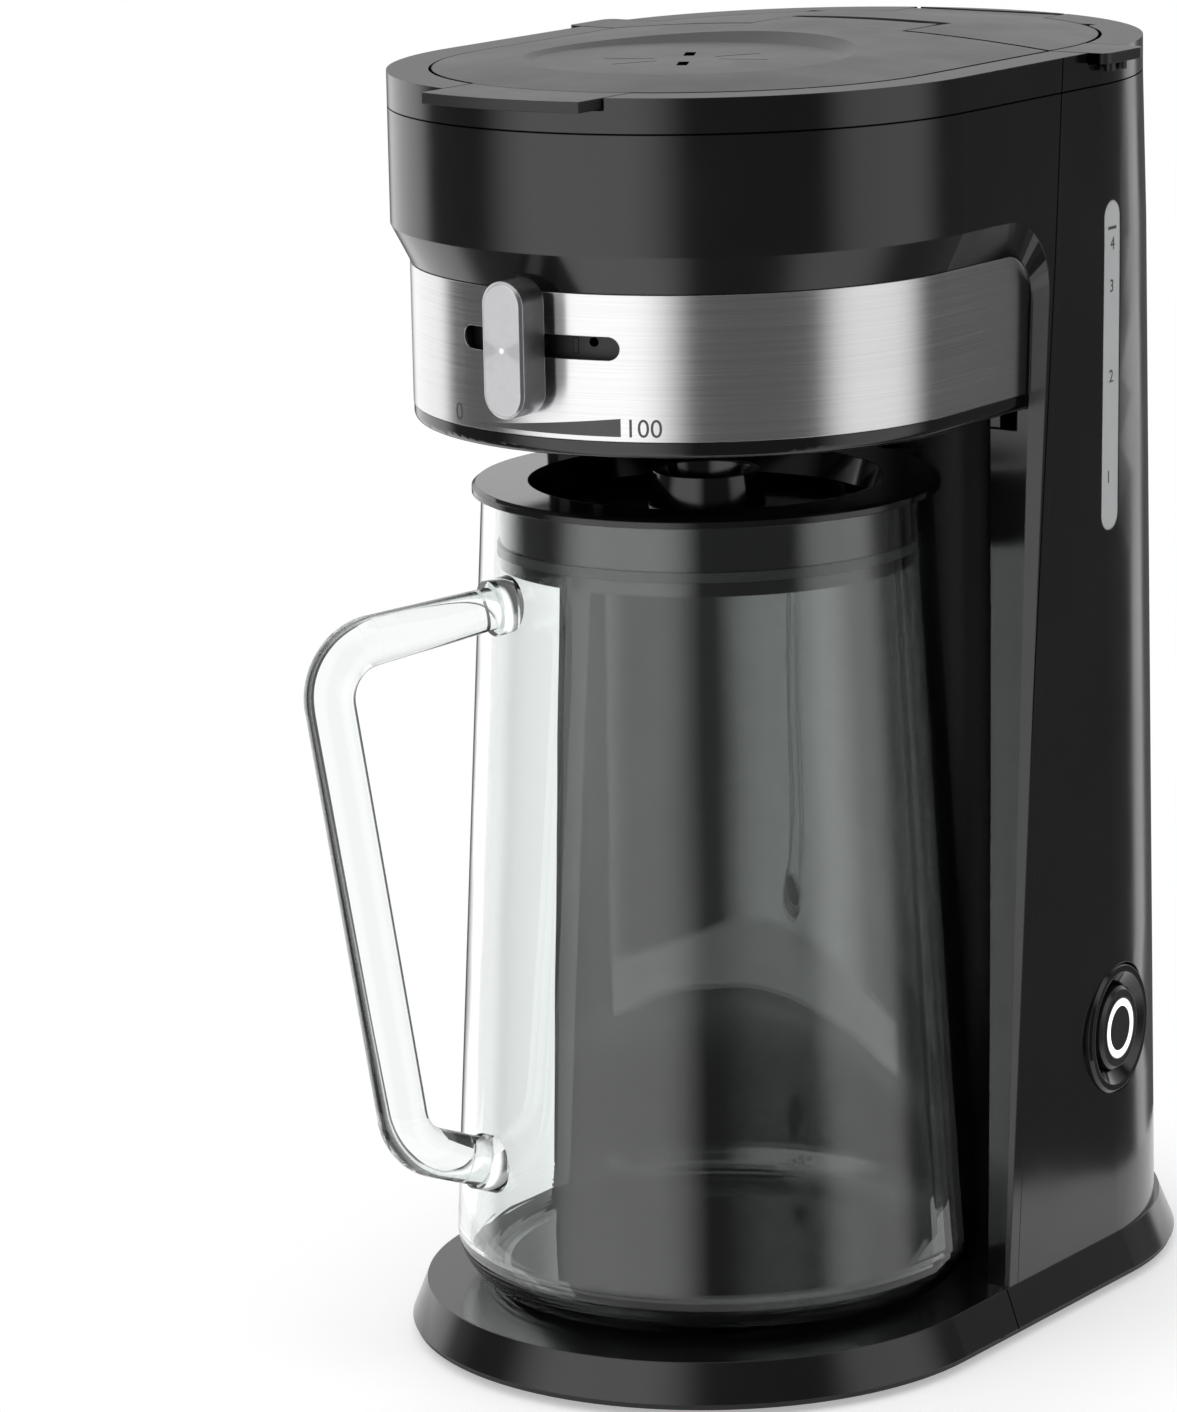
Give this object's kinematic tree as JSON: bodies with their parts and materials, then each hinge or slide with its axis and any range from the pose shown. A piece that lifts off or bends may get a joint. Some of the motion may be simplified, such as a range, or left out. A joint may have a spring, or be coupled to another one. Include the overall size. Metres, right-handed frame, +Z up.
{
  "type": "iced tea maker",
  "caption": "Electric iced tea maker: column with two hinged lids, strength slider on a steel band, side power button and a lidded glass jug standing in its bay",
  "frame": {"origin": "middle of the object's footprint on the table, under the middle of its width and length", "axes": "+Z up from the table, -Y towards the jug and slider at the front, +X towards the power button's side"},
  "size_m": [0.172, 0.2754, 0.3435],
  "materials": {
    "housing_black": "fine satin texture",
    "gloss_black": "moulded gloss",
    "lid_black": "soft satin",
    "cover_black": "moulded",
    "rubber_black": "matte",
    "steel_screw": "zinc plated",
    "steel_band": "brushed along the band",
    "knob_metal": "satin with a spun face",
    "basket_black": "moulded",
    "steel_mesh": "fine mesh",
    "seal_red": "soft",
    "tank_clear": "clear",
    "window_clear": "frosted clear",
    "ring_light": "lit from behind",
    "board_green": "lacquered",
    "switch_black": "moulded",
    "silicone_white": "translucent",
    "valve_white": "moulded",
    "heater_alu": "as drawn",
    "bracket_steel": "plated",
    "ceramic_cream": "unglazed",
    "fuse_white": "sleeve",
    "glass_clear": "clear borosilicate",
    "seal_grey": "soft"
  },
  "bodies": {
    "maker": {"base_housing": "housing_black", "base_bottom_cover": "cover_black", "rubber_feet": "rubber_black", "base_screws": "steel_screw", "front_housing": "housing_black", "rear_housing": "housing_black", "top_frame": "housing_black", "head_underside": "gloss_black", "steel_band": "steel_band", "brew_basket": "basket_black", "mesh_filter": "steel_mesh", "drip_nozzle": "seal_grey", "brew_lid_pin": "steel_screw", "shower_seal": "seal_red", "tank_lid_pin": "steel_screw", "water_tank": "tank_clear", "water_window": "window_clear", "button_bezel": "gloss_black", "button_switch": "switch_black", "control_board": "board_green", "check_valve": "valve_white", "inlet_hose": "silicone_white", "heater": "heater_alu", "heater_bracket": "bracket_steel", "bracket_screws": "steel_screw", "thermostat": "ceramic_cream", "thermal_fuse": "fuse_white", "riser_hose": "silicone_white", "cord_grommet": "rubber_black"},
    "front_lid": {"brew_lid": "lid_black", "brew_lid_arm": "lid_black", "shower_head": "basket_black"},
    "rear_lid": {"tank_lid": "lid_black"},
    "strength_slider": {"slider_knob": "knob_metal", "slider_carriage": "basket_black", "flow_shutter": "basket_black"},
    "power_key": {"power_button": "gloss_black", "light_ring": "ring_light"},
    "jug": {"jug_glass": "glass_clear", "jug_handle": "glass_clear"},
    "jug_cover": {"jug_lid": "gloss_black", "jug_lid_seal": "seal_grey"}
  },
  "joints": [
    {"name": "front_lid_hinge", "type": "hinge", "parent": "maker", "child": "front_lid", "pos_m": [0, 0.0495, 0.3374], "axis": [1, 0, 0], "range_deg": [-92, 0]},
    {"name": "rear_lid_hinge", "type": "hinge", "parent": "maker", "child": "rear_lid", "pos_m": [0, 0.1125, 0.3363], "axis": [-1, 0, 0], "range_deg": [0, 92]},
    {"name": "strength_slide", "type": "hinge", "parent": "maker", "child": "strength_slider", "pos_m": [0, -0.0285, 0.2767], "axis": [0, 0, 1], "range_deg": [-14, 16]},
    {"name": "power_press", "type": "slide", "parent": "maker", "child": "power_key", "axis": [-0.9962, -0.0872, 0], "range_m": [0, 0.0015], "stiffness_N_per_m": 400},
    {"name": "jug_out", "type": "slide", "parent": "maker", "child": "jug", "axis": [0, -1, 0], "range_m": [0, 0.24]},
    {"name": "jug_cover_lift", "type": "slide", "parent": "jug", "child": "jug_cover", "axis": [0, 0, 1], "range_m": [0, 0.012]}
  ]
}
